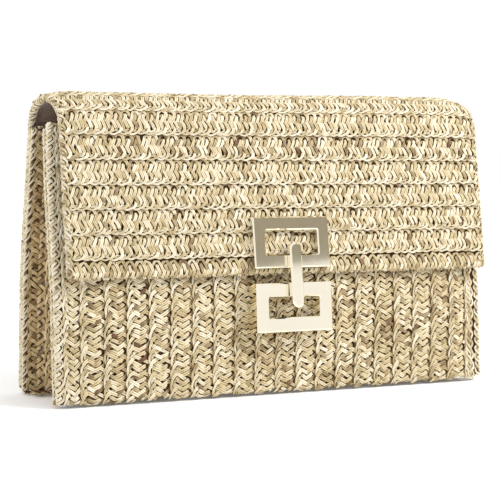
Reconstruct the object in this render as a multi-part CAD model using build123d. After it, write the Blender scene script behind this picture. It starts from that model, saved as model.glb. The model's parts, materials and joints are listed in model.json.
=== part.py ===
from build123d import *
import math
import os

# Straw clutch purse with a folding flap, V-folded gussets and a link clasp. Millimetres.
# X runs along the purse, the front faces -Y, +Z is up.
# Origin: centre of the rectangle that the purse stands on.

# ---- overall sizes ---------------------------------------------------------------------
body_length = 270.0       # along X, back, front and base panels
flap_length = 261.5       # along X, flap and crown
base_depth = 60.0         # along Y, outer faces of the back and front panels at the floor
body_height = 149.0       # top edge of the front panel and of the gussets
total_height = 164.0      # outside of the crown that the flap makes over the mouth
flap_drop = 96.0          # how far the flap's lower edge hangs below the crown's top
crown_radius = 18.9       # outside radius of the crown
crown_centre_y = -0.7     # centre of the crown's arc
back_lean = 8.2           # degrees, upper part of the back panel
flap_lean = 9.8           # degrees, flap
front_lean = 10.3         # degrees, upper part of the front panel
waist_radius = 150.0      # soft bend from the upright part of a panel to its leaning part
panel_corner = 6.0        # lower corners of the front panel, upper corners of the back panel
flap_corner = 5.0         # lower corners of the flap
front_crease_at = 130.0   # degrees round the crown from +Y, where the flap's front crease lies

# ---- layers ----------------------------------------------------------------------------
straw = 3.0               # plaited straw, braids sewn side by side
board = 1.0               # stiffening board
lining = 0.8              # textile lining
ply_gap = 0.05            # between layers of one panel
board_inset = 18.0        # boards and linings stop this far from the ends of a panel
pocket_ply = 0.8          # slip pocket cloth
pocket_slit = 0.6         # room behind the slip pocket
pocket_length = 150.0
pocket_bottom = 34.0
pocket_top = 118.0

# ---- gussets ---------------------------------------------------------------------------
gusset_straw = 2.6
gusset_fold_depth = 36.0  # how far the fold line lies inside the panel ends
seam_width = 8.0          # strip of a gusset wing that is sewn flat to its panel
wing_gap = 0.4            # between the two wings at the fold, and from a wing to its panel

# ---- clearances between moving bodies --------------------------------------------------
crease_gap = 0.3          # slot at each crease of the flap
closing_gap = 0.7         # from the closed flap to the front panel, at the flap's lower edge
base_gap = 0.3            # round the base panel and its layers

# ---- clasp -----------------------------------------------------------------------------
clasp_x = 1.0             # centre of the clasp along X
frame_width = 47.6        # both frames
upper_frame_height = 28.2
upper_bar = 7.4
upper_frame_thick = 3.6
upper_frame_rise = 3.0    # lower edge of the upper frame above the flap's lower edge
lower_frame_height = 26.8
lower_bar = 7.9
lower_frame_lean = 5.6    # degrees
frame_gap = 8.4           # between the frames, along the flap
frame_edge = 0.7          # bevel on the frames' edges
window_corner = 0.6
link_width = 7.5
link_thick = 3.8
link_overlap = 6.0        # how far the link passes over a bar into each window
link_clear = 0.15         # between the link and the upper frame's face
catch_clear = 0.25        # between the link and the lower frame's face
lug_width = 3.0
lug_radius = 1.5
lug_clear = 0.15
link_bevel = 0.9
pin_inset = 0.6           # ends of the pin inside the link's sides
pin_radius = 0.7
pin_running = 0.05        # radial clearance of the pin in the lug
pin_height = 3.0          # pin axis above the upper frame's lower bar
magnet_radius = 2.2
link_magnet_thick = 1.2
catch_magnet_thick = 2.0

# ---- clasp fasteners -------------------------------------------------------------------
screw_radius = 0.8
screw_head_radius = 1.6
screw_head_thick = 0.6
screw_clear = 0.1
screw_bite = 2.2          # thread length in a frame
washer_radius = 3.2
washer_thick = 0.5
washer_clear = 0.1
thread_clear = 0.02       # screws in the frames, magnets in their seats

# ---- derived sizes ---------------------------------------------------------------------
panel_stack = straw + board + lining + 2 * ply_gap
board_start = straw + ply_gap
lining_start = board_start + board + ply_gap
crown_centre_z = total_height - crown_radius
base_top = straw + board + lining + 2 * ply_gap
wing_stack = gusset_straw + ply_gap + lining
inner_length = body_length - 2 * board_inset


# ---- side-view paths -------------------------------------------------------------------
def turned(heading, turn):
    """Unit vector in the side plane, `turn` degrees to the left of a heading in degrees."""
    angle = math.radians(heading + turn)
    return math.cos(angle), math.sin(angle)


def trace(moves, start, heading, shift=0.0):
    """Edges of straights and arcs, moved `shift` to the left. Also the unshifted end and its heading."""
    edges = []
    y, z = start
    for kind, size, turn in moves:
        left = turned(heading, 90)
        first = (y + shift * left[0], z + shift * left[1])
        if kind == "line":
            ahead = turned(heading, 0)
            y, z = y + size * ahead[0], z + size * ahead[1]
            last = (y + shift * left[0], z + shift * left[1])
            edges.append(Line(first, last))
            continue
        side = 1 if turn > 0 else -1
        centre = (y + side * size * left[0], z + side * size * left[1])
        radius = size - side * shift
        middle_ray = turned(heading + turn / 2, -90 * side)
        last_ray = turned(heading + turn, -90 * side)
        middle = (centre[0] + radius * middle_ray[0], centre[1] + radius * middle_ray[1])
        last = (centre[0] + radius * last_ray[0], centre[1] + radius * last_ray[1])
        edges.append(ThreePointArc(first, middle, last))
        y, z = centre[0] + size * last_ray[0], centre[1] + size * last_ray[1]
        heading += turn
    return edges, (y, z), heading


def band(moves, start, heading, near, far, length):
    """Solid between two shifts of one path, drawn out along X to both sides."""
    near_edges, near_end, _ = trace(moves, start, heading, near)
    far_edges, far_end, _ = trace(moves, start, heading, far)
    first_cap = Line(near_edges[0] @ 0, far_edges[0] @ 0)
    last_cap = Line(near_edges[-1] @ 1, far_edges[-1] @ 1)
    outline = make_face(near_edges + [last_cap] + far_edges + [first_cap])
    return extrude(Plane.YZ * outline, amount=length / 2, both=True)


def front_outline(length, bottom, top, low_corner=0.0, high_corner=0.0):
    """Prism along Y that trims a panel to its outline as seen from the front."""
    plate = Rectangle(length, top - bottom)
    corners = plate.vertices().sort_by(Axis.Y)
    if low_corner:
        plate = fillet(corners[:2], low_corner)
    if high_corner:
        plate = fillet(plate.vertices().sort_by(Axis.Y)[-2:], high_corner)
    middle = Plane(origin=(0, 0, (top + bottom) / 2), x_dir=(1, 0, 0), z_dir=(0, -1, 0))
    return extrude(middle * plate, amount=base_depth, both=True)


def lean_moves(lean, meet_height, end_height, side):
    """Upright run, soft bend and leaning run of a panel that starts upright at the floor."""
    tangent = waist_radius * math.tan(math.radians(lean / 2))
    leaning = (end_height - meet_height) / math.cos(math.radians(lean)) - tangent
    return [
        ("line", meet_height - tangent, 0),
        ("arc", waist_radius, side * lean),
        ("line", leaning, 0),
    ]


def panel_y(moves, start, shift, height):
    """Y of a shifted panel path at a height, for an upright, bent and leaning panel."""
    (_, upright, _), (_, radius, turn), (_, _, _) = moves
    side = 1 if turn > 0 else -1
    y0 = start[0] - shift
    if height <= upright:
        return y0
    inner = radius - side * shift
    bend_top = upright + inner * math.sin(math.radians(abs(turn)))
    drop = min(height, bend_top) - upright
    y = y0 - side * (inner - math.sqrt(inner**2 - drop**2))
    if height > bend_top:
        y -= side * (height - bend_top) * math.tan(math.radians(abs(turn)))
    return y


# A path's left side is the front, so the back panel's inside has a positive shift
# and the front panel's inside a negative one.
back_start = (base_depth / 2, 0.0)
back_top = (
    crown_centre_y + crown_radius * math.cos(math.radians(back_lean)),
    crown_centre_z + crown_radius * math.sin(math.radians(back_lean)),
)
back_meet = back_top[1] - (back_start[0] - back_top[0]) / math.tan(math.radians(back_lean))
back_moves = lean_moves(back_lean, back_meet, back_top[1], 1)
back_moves[2] = ("line", back_moves[2][1] - crease_gap / 2, 0)

crown_turn = 180.0 - back_lean - flap_lean
crown_piece_turn = front_crease_at - back_lean
rest_of_crown = crown_turn - crown_piece_turn
gap_angle = math.degrees(crease_gap / 2 / crown_radius)
crown_heading = 90.0 + back_lean


def on_crown(turn):
    """Point on the crown's outside, `turn` degrees of arc after the back panel's top."""
    ray = turned(crown_heading + turn, -90)
    return crown_centre_y + crown_radius * ray[0], crown_centre_z + crown_radius * ray[1]


flap_low = total_height - flap_drop
flap_line = (on_crown(crown_turn)[1] - flap_low) / math.cos(math.radians(flap_lean))
crown_moves = [("arc", crown_radius, crown_piece_turn - 2 * gap_angle)]
flap_moves = [
    ("arc", crown_radius, rest_of_crown - gap_angle),
    ("line", flap_line, 0),
]
crown_from = on_crown(gap_angle)
flap_from = on_crown(crown_piece_turn + gap_angle)
flap_heading = crown_heading + crown_piece_turn + gap_angle
rear_crease = on_crown(0)
front_crease = on_crown(crown_piece_turn)
gusset_top = rear_crease[1] - panel_stack * math.sin(math.radians(back_lean)) - crease_gap - wing_gap
flap_edge = trace(flap_moves, flap_from, flap_heading)[1]

front_start = (-base_depth / 2, 0.0)
front_at_edge = flap_edge[0] + (panel_stack + closing_gap) / math.cos(math.radians(flap_lean))
front_meet = flap_edge[1] - (front_at_edge - front_start[0]) / math.tan(math.radians(front_lean))
front_moves = lean_moves(front_lean, front_meet, body_height, -1)


# ---- panels ----------------------------------------------------------------------------
def upright_part(moves, start, near, far, length, bottom, low_corner=0.0, high_corner=0.0):
    """Layer of the back or front panel, trimmed to its outline."""
    top = trace(moves, start, 90)[1][1]
    shell = band(moves, start, 90, near, far, length)
    return shell & front_outline(length, bottom, top + 1, low_corner, high_corner)


def back_panel():
    return upright_part(back_moves, back_start, 0, straw, body_length, 0, 0, panel_corner)


def back_board():
    return upright_part(
        back_moves, back_start, board_start, board_start + board, inner_length, straw + base_gap
    )


def back_lining():
    return upright_part(
        back_moves, back_start, lining_start, lining_start + lining, inner_length, straw + base_gap
    )


def slip_pocket():
    """Cloth pocket on the back lining, sewn along its sides and bottom and open at the top."""
    face = panel_stack
    hem = 3.0
    cloth = band(
        back_moves, back_start, 90, face + pocket_slit, face + pocket_slit + pocket_ply, pocket_length
    )
    sewn = band(back_moves, back_start, 90, face + ply_gap, face + pocket_slit, pocket_length)
    outline = front_outline(pocket_length, pocket_bottom, pocket_top)
    opening = front_outline(pocket_length - 2 * hem, pocket_bottom + hem, pocket_top + hem)
    return (cloth & outline) + ((sewn & outline) - opening)


def base_plate(half_depth, bottom, top, end_inset):
    """Layer of the base, with a V cut in each end under the folded gusset."""
    half = body_length / 2 - end_inset
    notch = half - gusset_fold_depth + end_inset - wing_gap
    outline = Polyline(
        (-half, -half_depth), (half, -half_depth), (half, -half_depth + seam_width), (notch, 0),
        (half, half_depth - seam_width), (half, half_depth), (-half, half_depth),
        (-half, half_depth - seam_width), (-notch, 0), (-half, -half_depth + seam_width),
        close=True,
    )
    return extrude(Pos(0, 0, bottom) * make_face(outline), amount=top - bottom)


def base_panel():
    return base_plate(base_depth / 2 - straw - base_gap, 0, straw, panel_corner)


def base_board():
    return base_plate(
        base_depth / 2 - panel_stack - base_gap, board_start, board_start + board, board_inset
    )


def base_lining():
    return base_plate(base_depth / 2 - panel_stack - base_gap, lining_start, base_top, board_inset)


def front_panel(hardware):
    panel = upright_part(
        front_moves, front_start, 0, -straw, body_length, 0, panel_corner, 0
    )
    return panel - hardware


def front_board(hardware):
    plate = upright_part(
        front_moves, front_start, -board_start, -board_start - board, inner_length, straw + base_gap
    )
    return plate - hardware


def front_lining(hardware):
    cloth = upright_part(
        front_moves, front_start, -lining_start, -lining_start - lining, inner_length,
        straw + base_gap,
    )
    return cloth - hardware


# ---- gussets ---------------------------------------------------------------------------
def wing_points(panel_face, fold_y, depth):
    """Seam end, bend and fold end of one wing at `depth` into its layers, in plan, left side.

    panel_face is the Y of the panel's inside. The wing lies beside it, then turns to the fold.
    """
    toward = 1 if fold_y > panel_face else -1
    strip = panel_face + toward * (wing_gap + wing_stack - depth)
    corner = (-body_length / 2 + seam_width, panel_face + toward * (wing_gap + wing_stack))
    fold = (-body_length / 2 + gusset_fold_depth, fold_y - toward * wing_gap / 2)
    run = (fold[0] - corner[0], fold[1] - corner[1])
    size = math.hypot(*run)
    along = (run[0] / size, run[1] / size)
    inward = (abs(along[1]), -toward * along[0])
    base = (corner[0] + depth * inward[0], corner[1] + depth * inward[1])
    to_strip = (strip - base[1]) / along[1]
    bend = (base[0] + to_strip * along[0], strip)
    tip = (base[0] + size * along[0], base[1] + size * along[1])
    return (-body_length / 2, strip), bend, tip


def wing(is_rear, is_left, near, far):
    """One gusset wing layer, lofted up the panel that it is sewn to."""
    moves, start, side = (back_moves, back_start, 1) if is_rear else (front_moves, front_start, -1)
    upright, bend = moves[0][1], waist_radius * math.radians(abs(moves[1][2]))
    heights = [base_top + base_gap, upright] + [upright + bend * k / 3 for k in (1, 2, 3)]
    heights.append(gusset_top)
    sections = []
    for height in heights:
        panel_face = panel_y(moves, start, side * straw, height)
        back_face = panel_y(back_moves, back_start, straw, height)
        front_face = panel_y(front_moves, front_start, -straw, height)
        fold_y = (back_face + front_face) / 2
        near_points = wing_points(panel_face, fold_y, near)
        far_points = wing_points(panel_face, fold_y, far)
        outline = [*near_points, *reversed(far_points)]
        mirror = 1 if is_left else -1
        ring = [(mirror * x, y) for x, y in outline]
        sections.append(Pos(0, 0, height) * make_face(Polyline(*ring, close=True)))
    return loft(sections, ruled=True)


# ---- flap ------------------------------------------------------------------------------
def flap_crown():
    """Straw over the mouth, between the two creases."""
    return band(crown_moves, crown_from, crown_heading + gap_angle, 0, straw, flap_length)


def flap_crown_lining():
    length = flap_length - 2 * ply_gap
    return band(
        crown_moves, crown_from, crown_heading + gap_angle, lining_start, lining_start + lining, length
    )


def flap_layer(near, far, inset):
    """Layer of the flap's front, with rounded lower corners."""
    layer = band(flap_moves, flap_from, flap_heading, near, far, flap_length - 2 * inset)
    bottom = flap_edge[1] - far * math.sin(math.radians(flap_lean)) - 1
    return layer & front_outline(flap_length, bottom, total_height + 1, flap_corner)


def flap_panel(hardware):
    return flap_layer(0, straw, 0) - hardware


def flap_board(hardware):
    """Board in the flat part of the flap only, so that the creases stay soft."""
    flat_from, flat_heading = trace(flap_moves[:1], flap_from, flap_heading)[1:]
    flat = [("line", flap_line - board_inset, 0)]
    plate = band(
        flat, flat_from, flat_heading, board_start, board_start + board, flap_length - 2 * board_inset
    )
    return plate - hardware


def flap_lining(hardware):
    return flap_layer(lining_start, lining_start + lining, ply_gap) - hardware


# ---- clasp -----------------------------------------------------------------------------
def leaning_plane(point, lean):
    """Plane on a leaning face: X along the purse, Y up the face, Z out of it."""
    angle = math.radians(lean)
    outward = (0, -math.cos(angle), math.sin(angle))
    return Plane(origin=(clasp_x, point[0], point[1]), x_dir=(1, 0, 0), z_dir=outward)


# The flap plane's origin is on the flap's outside, at its lower edge.
flap_plane = leaning_plane(flap_edge, flap_lean)
upper_bar_top = upper_frame_rise + upper_bar
lower_high = upper_frame_rise - frame_gap
link_top = upper_bar_top + link_overlap
link_bottom = lower_high - lower_bar - link_overlap
link_rear = upper_frame_thick + link_clear
pin_up = upper_bar_top + pin_height
pin_out = link_rear + lug_radius
pin_length = link_width - 2 * pin_inset
magnet_up = lower_high - lower_bar / 2
catch_point = flap_plane.from_local_coords(Vector(0, lower_high, link_rear - catch_clear))
# The lower frame's plane has its origin on that frame's face, at its upper edge.
lower_plane = leaning_plane((catch_point.Y, catch_point.Z), lower_frame_lean)


def bar_along_x(radius, length, up, out):
    return Pos(0, up, out) * Rot(0, 90, 0) * Cylinder(radius, length)


def bar_along_z(radius, low, high, x=0.0, up=0.0):
    return Pos(x, up, (low + high) / 2) * Cylinder(radius, high - low)


def block(width, ups, outs):
    """Box centred on X, between two heights and two depths of a plane."""
    size = (width, ups[1] - ups[0], outs[1] - outs[0])
    return Pos(0, sum(ups) / 2, sum(outs) / 2) * Box(*size)


def ring(height, bar, ups, outs):
    """Rectangular frame with bevelled front edges."""
    window = block(frame_width - 2 * bar, (ups[0] + bar, ups[1] - bar), (outs[0] - 1, outs[1] + 1))
    window = fillet(window.edges().filter_by(Axis.Z), window_corner)
    frame = block(frame_width, ups, outs) - window
    front = frame.faces().sort_by(Axis.Z)[-1]
    return chamfer(front.edges(), frame_edge)


def inner_face_depth(up):
    """Depth under the lower frame's face at which a screw reaches the inside of the straw."""
    low, high = -base_depth, 0.0
    for _ in range(40):
        middle = (low + high) / 2
        point = lower_plane.from_local_coords(Vector(0, up, middle))
        beyond = point.Y > panel_y(front_moves, front_start, -straw, point.Z)
        low, high = (middle, high) if beyond else (low, middle)
    return high


def screw_sites(bar, ups, depth_at):
    """(x, up, depth of the straw's inside) for the four screws of a frame."""
    side = (frame_width - bar) / 2
    heights = (ups[0] + bar / 2, ups[1] - bar / 2)
    return [(sign * side, up, depth_at(up)) for sign in (-1, 1) for up in heights]


upper_ups = (upper_frame_rise, upper_frame_rise + upper_frame_height)
lower_ups = (-lower_frame_height, 0.0)
upper_sites = screw_sites(upper_bar, upper_ups, lambda up: -straw)
lower_sites = screw_sites(lower_bar, lower_ups, inner_face_depth)


def shanks(sites, radius, extra=0.0):
    """Screw shanks, from the washers' rear to the end of the threads."""
    return [
        bar_along_z(radius, depth - washer_thick, depth + straw + screw_bite + extra, x, up)
        for x, up, depth in sites
    ]


def hardware_room(plane, sites):
    """Holes and pockets that the screws and washers need in the layers of a panel."""
    holes = shanks(sites, screw_radius + screw_clear)
    deep = washer_thick + screw_head_thick + washer_clear
    pockets = [
        bar_along_z(washer_radius + washer_clear, depth - deep, depth + washer_clear, x, up)
        for x, up, depth in sites
    ]
    return plane * Compound([solid for item in holes + pockets for solid in item.solids()])


def screws(plane, sites):
    group = []
    for (x, up, depth), shank in zip(sites, shanks(sites, screw_radius)):
        rear = depth - washer_thick
        head = bar_along_z(screw_head_radius, rear - screw_head_thick, rear, x, up)
        group += (shank + head).solids()
    return plane * Compound(group)


def washers(plane, sites):
    group = []
    for x, up, depth in sites:
        disc = bar_along_z(washer_radius, depth - washer_thick, depth, x, up)
        hole = bar_along_z(screw_radius + screw_clear, depth - 1, depth + 1, x, up)
        group += (disc - hole).solids()
    return plane * Compound(group)


def tapped(frame, sites):
    for hole in shanks(sites, screw_radius + thread_clear, thread_clear):
        frame -= hole
    return frame


def upper_frame():
    """Ring on the flap, with a lug behind the link that carries the link's pin."""
    frame = ring(upper_frame_height, upper_bar, upper_ups, (0, upper_frame_thick))
    post = block(lug_width, (upper_bar_top - 1, pin_up), (0, upper_frame_thick))
    neck = block(lug_width, (pin_up - lug_radius, pin_up + lug_radius), (upper_frame_thick - 1, pin_out))
    eye = bar_along_x(lug_radius, lug_width, pin_up, pin_out)
    bore = bar_along_x(pin_radius + pin_running, 2 * lug_width, pin_up, pin_out)
    return flap_plane * tapped(frame + post + neck + eye - bore, upper_sites)


def clasp_link():
    """Round-ended bar that hangs from its pin across both frames."""
    outline = Pos(0, (link_top + link_bottom) / 2) * SlotOverall(
        link_top - link_bottom, link_width, rotation=90
    )
    bar = extrude(Pos(0, 0, link_rear) * outline, amount=link_thick)
    bar = chamfer(bar.faces().sort_by(Axis.Z)[-1].edges(), link_bevel)
    room_radius = lug_radius + lug_clear
    room_width = lug_width + 2 * lug_clear
    eye_room = bar_along_x(room_radius, room_width, pin_up, pin_out)
    neck_room = block(room_width, (pin_up - room_radius, link_top + 1), (link_rear - 1, pin_out))
    swing_room = block(room_width, (pin_up, link_top + 1), (link_rear - 1, pin_out + room_radius))
    pin_hole = bar_along_x(pin_radius, pin_length, pin_up, pin_out)
    seat = bar_along_z(
        magnet_radius + thread_clear, link_rear - 1, link_rear + link_magnet_thick, 0, magnet_up
    )
    return flap_plane * (bar - eye_room - neck_room - swing_room - pin_hole - seat)


def link_pin():
    return flap_plane * bar_along_x(pin_radius, pin_length, pin_up, pin_out)


def link_magnet():
    return flap_plane * bar_along_z(
        magnet_radius, link_rear, link_rear + link_magnet_thick, 0, magnet_up
    )


def lower_frame():
    """Deep ring that stands on the front panel and holds the catch magnet."""
    body = ring(lower_frame_height, lower_bar, lower_ups, (-lower_frame_height, 0))
    seat = bar_along_z(magnet_radius + thread_clear, -catch_magnet_thick, 1, 0, -lower_bar / 2)
    behind = band(front_moves, front_start, 90, ply_gap, -base_depth / 2, body_length / 2)
    return lower_plane * tapped(body - seat, lower_sites) - behind


def catch_magnet():
    return lower_plane * bar_along_z(
        magnet_radius, -catch_magnet_thick, 0, 0, -lower_bar / 2
    )


# ---- nodes -----------------------------------------------------------------------------
def all_parts():
    upper_room = hardware_room(flap_plane, upper_sites)
    lower_room = hardware_room(lower_plane, lower_sites)
    parts = {
        "back_panel": back_panel(),
        "back_board": back_board(),
        "back_lining": back_lining(),
        "slip_pocket": slip_pocket(),
        "base_panel": base_panel(),
        "base_board": base_board(),
        "base_lining": base_lining(),
        "front_panel": front_panel(lower_room),
        "front_board": front_board(lower_room),
        "front_lining": front_lining(lower_room),
        "flap_crown": flap_crown(),
        "flap_crown_lining": flap_crown_lining(),
        "flap_panel": flap_panel(upper_room),
        "flap_board": flap_board(upper_room),
        "flap_lining": flap_lining(upper_room),
        "upper_frame": upper_frame(),
        "upper_frame_screws": screws(flap_plane, upper_sites),
        "upper_frame_washers": washers(flap_plane, upper_sites),
        "lower_frame": lower_frame(),
        "lower_frame_screws": screws(lower_plane, lower_sites),
        "lower_frame_washers": washers(lower_plane, lower_sites),
        "catch_magnet": catch_magnet(),
        "clasp_link": clasp_link(),
        "link_pin": link_pin(),
        "link_magnet": link_magnet(),
    }
    for side in ("left", "right"):
        for end in ("rear", "front"):
            name = f"gusset_{side}_{end}"
            parts[name] = wing(end == "rear", side == "left", 0, gusset_straw)
            parts[f"{name}_lining"] = wing(
                end == "rear", side == "left", gusset_straw + ply_gap, wing_stack
            )
    return parts


os.makedirs("parts", exist_ok=True)
for node, shape in all_parts().items():
    export_step(shape, f"parts/{node}.step")
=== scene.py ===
import json
import math

import bpy
import numpy as np
from mathutils import Matrix, Vector


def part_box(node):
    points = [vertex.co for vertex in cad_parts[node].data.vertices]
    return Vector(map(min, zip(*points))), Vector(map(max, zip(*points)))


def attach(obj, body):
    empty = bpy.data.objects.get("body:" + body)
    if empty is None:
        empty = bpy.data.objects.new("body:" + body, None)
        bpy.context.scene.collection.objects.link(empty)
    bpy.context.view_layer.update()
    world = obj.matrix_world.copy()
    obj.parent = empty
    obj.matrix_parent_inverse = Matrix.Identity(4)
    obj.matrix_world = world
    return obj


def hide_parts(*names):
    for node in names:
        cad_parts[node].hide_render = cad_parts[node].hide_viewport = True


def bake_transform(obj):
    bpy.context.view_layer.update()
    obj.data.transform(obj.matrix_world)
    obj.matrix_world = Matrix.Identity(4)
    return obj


# Straw clutch purse: braids sewn side by side, cloth linings, folded gussets and a gold clasp.
# Lengths in this script are millimetres; meshes are made in metres, in the frame's axes.

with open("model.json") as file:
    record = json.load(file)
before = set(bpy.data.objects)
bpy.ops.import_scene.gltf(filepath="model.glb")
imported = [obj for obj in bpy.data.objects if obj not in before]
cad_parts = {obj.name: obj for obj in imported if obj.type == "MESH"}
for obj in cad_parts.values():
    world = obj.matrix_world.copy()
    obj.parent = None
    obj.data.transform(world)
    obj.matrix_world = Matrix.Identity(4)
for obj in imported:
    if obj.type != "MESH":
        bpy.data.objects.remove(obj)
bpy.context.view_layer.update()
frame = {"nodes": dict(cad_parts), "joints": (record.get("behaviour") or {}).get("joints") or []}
MM = 0.001


def node_box(node):
    """Lowest and highest corner of a CAD node, in millimetres."""
    low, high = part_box(node)
    return np.array(low) / MM, np.array(high) / MM


def joint_point(name):
    joint = next(item for item in frame["joints"] if item["name"] == name)
    return np.array(joint["pos_m"]) / MM


# ---- sizes read from the frame ---------------------------
body_half = node_box("back_panel")[1][0]
flap_half = node_box("flap_panel")[1][0]
base_half_depth = node_box("back_panel")[1][1]
body_height = node_box("front_panel")[1][2]
total_height = node_box("flap_crown")[1][2]
flap_low = node_box("flap_panel")[0][2]
rear_crease = joint_point("flap_lift")
fold_x = node_box("gusset_left_rear")[1][0] + body_half    # depth of the gusset's fold line

# ---- driving sizes of the soft parts ---------------------
CROWN_RADIUS = 18.9
CROWN_CENTRE = (-0.7, total_height - CROWN_RADIUS)
BACK_LEAN = 8.2            # degrees
FLAP_LEAN = 9.8
FRONT_LEAN = 10.3
WAIST_RADIUS = 150.0
FOOT_RUN = 5.0             # straight under the base, before the bend into a panel
FOOT_RADIUS = 4.0          # bend from the base into a panel
FOOT_LIFT = 0.8            # the straw's relief under the base
FLAP_FOLD_RADIUS = 1.9     # lower edge of the flap
FLAP_TURN_IN = 6.0         # cloth turned up behind the flap's lower edge
FRONT_CREASE_ANGLE = 130   # where the front crease is, in degrees round the crown
FRONT_TOP_Y = -12.8        # the front panel's top edge
PULL_IN = 4.8              # how far the front panel's ends draw inwards
PULL_IN_FROM = 107.0       # distance from the middle where they start to

ROW_PITCH = 13.2           # between braids of the flap and back
COLUMN_PITCH = 12.85       # between braids of the front
ROW_REPEAT = 5.3           # along a braid, from one edge loop to the next
COLUMN_REPEAT = 6.25
STRAWS = 2                 # straws side by side in a strand
FOLD_ROW_SWINGS = (2.6, 9.8)   # edge and sunk swing of the row that folds round the flap's edge
BASE_SWINGS = (3.8, 4.6)
GUSSET_SWINGS = (4.6, 5.4)
NOT_COVERED = 99.0         # a braid with no neighbour on top of it
SWING_EDGE = 5.2           # from a braid's middle to its strands' middle on the sewn-on side
SWING_SUNK = 6.6           # the same on the side under the neighbour
TURN_SOFTNESS = 0.02       # rounding of a strand's turns, as a share of its period
EDGE_KEEP = 0.58           # width that a strand keeps where it runs along the sewn-on edge
WEAVE_BAND = 3.7           # across a braid, from where one set of strands is on top to the other
STRAND_LIFT = 0.5          # how far a strand rises over the one it crosses
BRAID_DEPTH = 1.1          # the braids' middle plane under the panel's nominal face
STRAW_CROWN = 0.6
STRAW_BELLY = 0.35
STRAW_FILL = 0.84          # a straw's share of its pitch
EDGE_TILT = 0.55           # a braid's sewn-on edge lies this much above its middle
HEM_HALF_WIDTH = 2.5
HEM_HALF_THICK = 2.35
HEM_REPEAT = 4.4
HEM_SWING = 2.5
CLOTH_INSET = 2.6          # the cloth under the braids ends this far inside the panel's ends
BACKING = (-2.55, -2.95)   # depths of the cloth under the braids, coloured dark as painted shade
LINING = (-4.1, -4.9)


# ---- side-view paths -------------------------------------
class Path:
    """Side-view line of straights and arcs in (y, z), read by the distance along it."""

    STEP = 0.25

    def __init__(self, start, heading, moves, outside):
        points, headings, distances = [start], [heading], [0.0]
        y, z = start
        for kind, size, turn in moves:
            length = size if kind == "line" else size * math.radians(abs(turn))
            count = max(2, int(length / self.STEP))
            begin = heading
            for index in range(1, count + 1):
                middle = math.radians(begin + turn * (index - 0.5) / count)
                step = length / count
                if kind == "arc":
                    half = math.radians(abs(turn)) / count / 2
                    step *= math.sin(half) / half
                y += step * math.cos(middle)
                z += step * math.sin(middle)
                heading = begin + turn * index / count
                points.append((y, z))
                headings.append(heading)
                distances.append(distances[-1] + length / count)
        self.points = np.array(points)
        self.headings = np.radians(np.array(headings))
        self.distances = np.array(distances)
        self.outside = outside
        self.length = self.distances[-1]

    def place(self, along, out):
        """(y, z) at a distance along the path and `out` from it to the outside."""
        inside = np.clip(along, 0, self.length)
        y = np.interp(inside, self.distances, self.points[:, 0])
        z = np.interp(inside, self.distances, self.points[:, 1])
        heading = np.interp(inside, self.distances, self.headings)
        beyond = along - inside
        y = y + beyond * np.cos(heading) + out * self.outside * -np.sin(heading)
        z = z + beyond * np.sin(heading) + out * self.outside * np.cos(heading)
        return y, z

    def distance_at(self, height, after=0.0):
        """First distance after `after` where the path crosses a height."""
        chosen = self.distances > after
        above = self.points[chosen][:, 1] - height
        first = np.nonzero(np.diff(np.sign(above)))[0][0]
        return self.distances[chosen][first]


def upright_moves(side, lean, top, start_y, start_z):
    """Foot, upright run, soft bend and leaning run to the point `top` = (y, z)."""
    slope = math.tan(math.radians(lean))
    meet = top[1] - abs(start_y - top[0]) / slope
    tangent = WAIST_RADIUS * math.tan(math.radians(lean / 2))
    leaning = (top[1] - meet) / math.cos(math.radians(lean)) - tangent
    return [
        ("line", FOOT_RUN, 0),
        ("arc", FOOT_RADIUS, side * 90),
        ("line", meet - tangent - start_z - FOOT_RADIUS, 0),
        ("arc", WAIST_RADIUS, side * lean),
        ("line", leaning, 0),
    ]


foot_y = base_half_depth - FOOT_RADIUS - FOOT_RUN
back_top = (
    CROWN_CENTRE[0] + CROWN_RADIUS * math.cos(math.radians(BACK_LEAN)),
    CROWN_CENTRE[1] + CROWN_RADIUS * math.sin(math.radians(BACK_LEAN)),
)
crown_turn = 180 - BACK_LEAN - FLAP_LEAN
flap_tangent_z = CROWN_CENTRE[1] + CROWN_RADIUS * math.sin(math.radians(FLAP_LEAN))
flap_run = (flap_tangent_z - flap_low) / math.cos(math.radians(FLAP_LEAN)) - FLAP_FOLD_RADIUS
cover_moves = upright_moves(1, BACK_LEAN, back_top, base_half_depth, FOOT_LIFT) + [
    ("arc", CROWN_RADIUS, crown_turn),
    ("line", flap_run, 0),
    ("arc", FLAP_FOLD_RADIUS, 180),
    ("line", FLAP_TURN_IN, 0),
]
cover = Path((foot_y, FOOT_LIFT), 0, cover_moves, -1)
cover_flap_end = cover.length - FLAP_TURN_IN - math.pi * FLAP_FOLD_RADIUS / 2
crown_start = sum(
    size if kind == "line" else size * math.radians(abs(turn)) for kind, size, turn in cover_moves[:5]
)
crown_middle = crown_start + CROWN_RADIUS * math.radians(crown_turn) / 2
front_crease_at = crown_start + CROWN_RADIUS * math.radians(FRONT_CREASE_ANGLE - BACK_LEAN)

front_moves = upright_moves(
    -1, FRONT_LEAN, (FRONT_TOP_Y, body_height), -base_half_depth, FOOT_LIFT
)
front = Path((-foot_y, FOOT_LIFT), 180, front_moves, 1)


def eased(share):
    """Smooth step from 0 to 1."""
    return share * share * (3 - 2 * share)


def pull_in(x, z):
    """How far the front panel's ends draw inwards from its fuller middle."""
    side = eased(np.clip((np.abs(x) - PULL_IN_FROM) / (body_half - PULL_IN_FROM), 0, 1))
    up = np.clip(z / 62.0, 0, 1) * np.clip((body_height + 6 - z) / 50.0, 0, 1)
    return PULL_IN * side * np.sin(up * math.pi / 2)


FLAP_RIGHT_EXTRA = 2.4     # the flap's right end reaches this much further than its left


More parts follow.
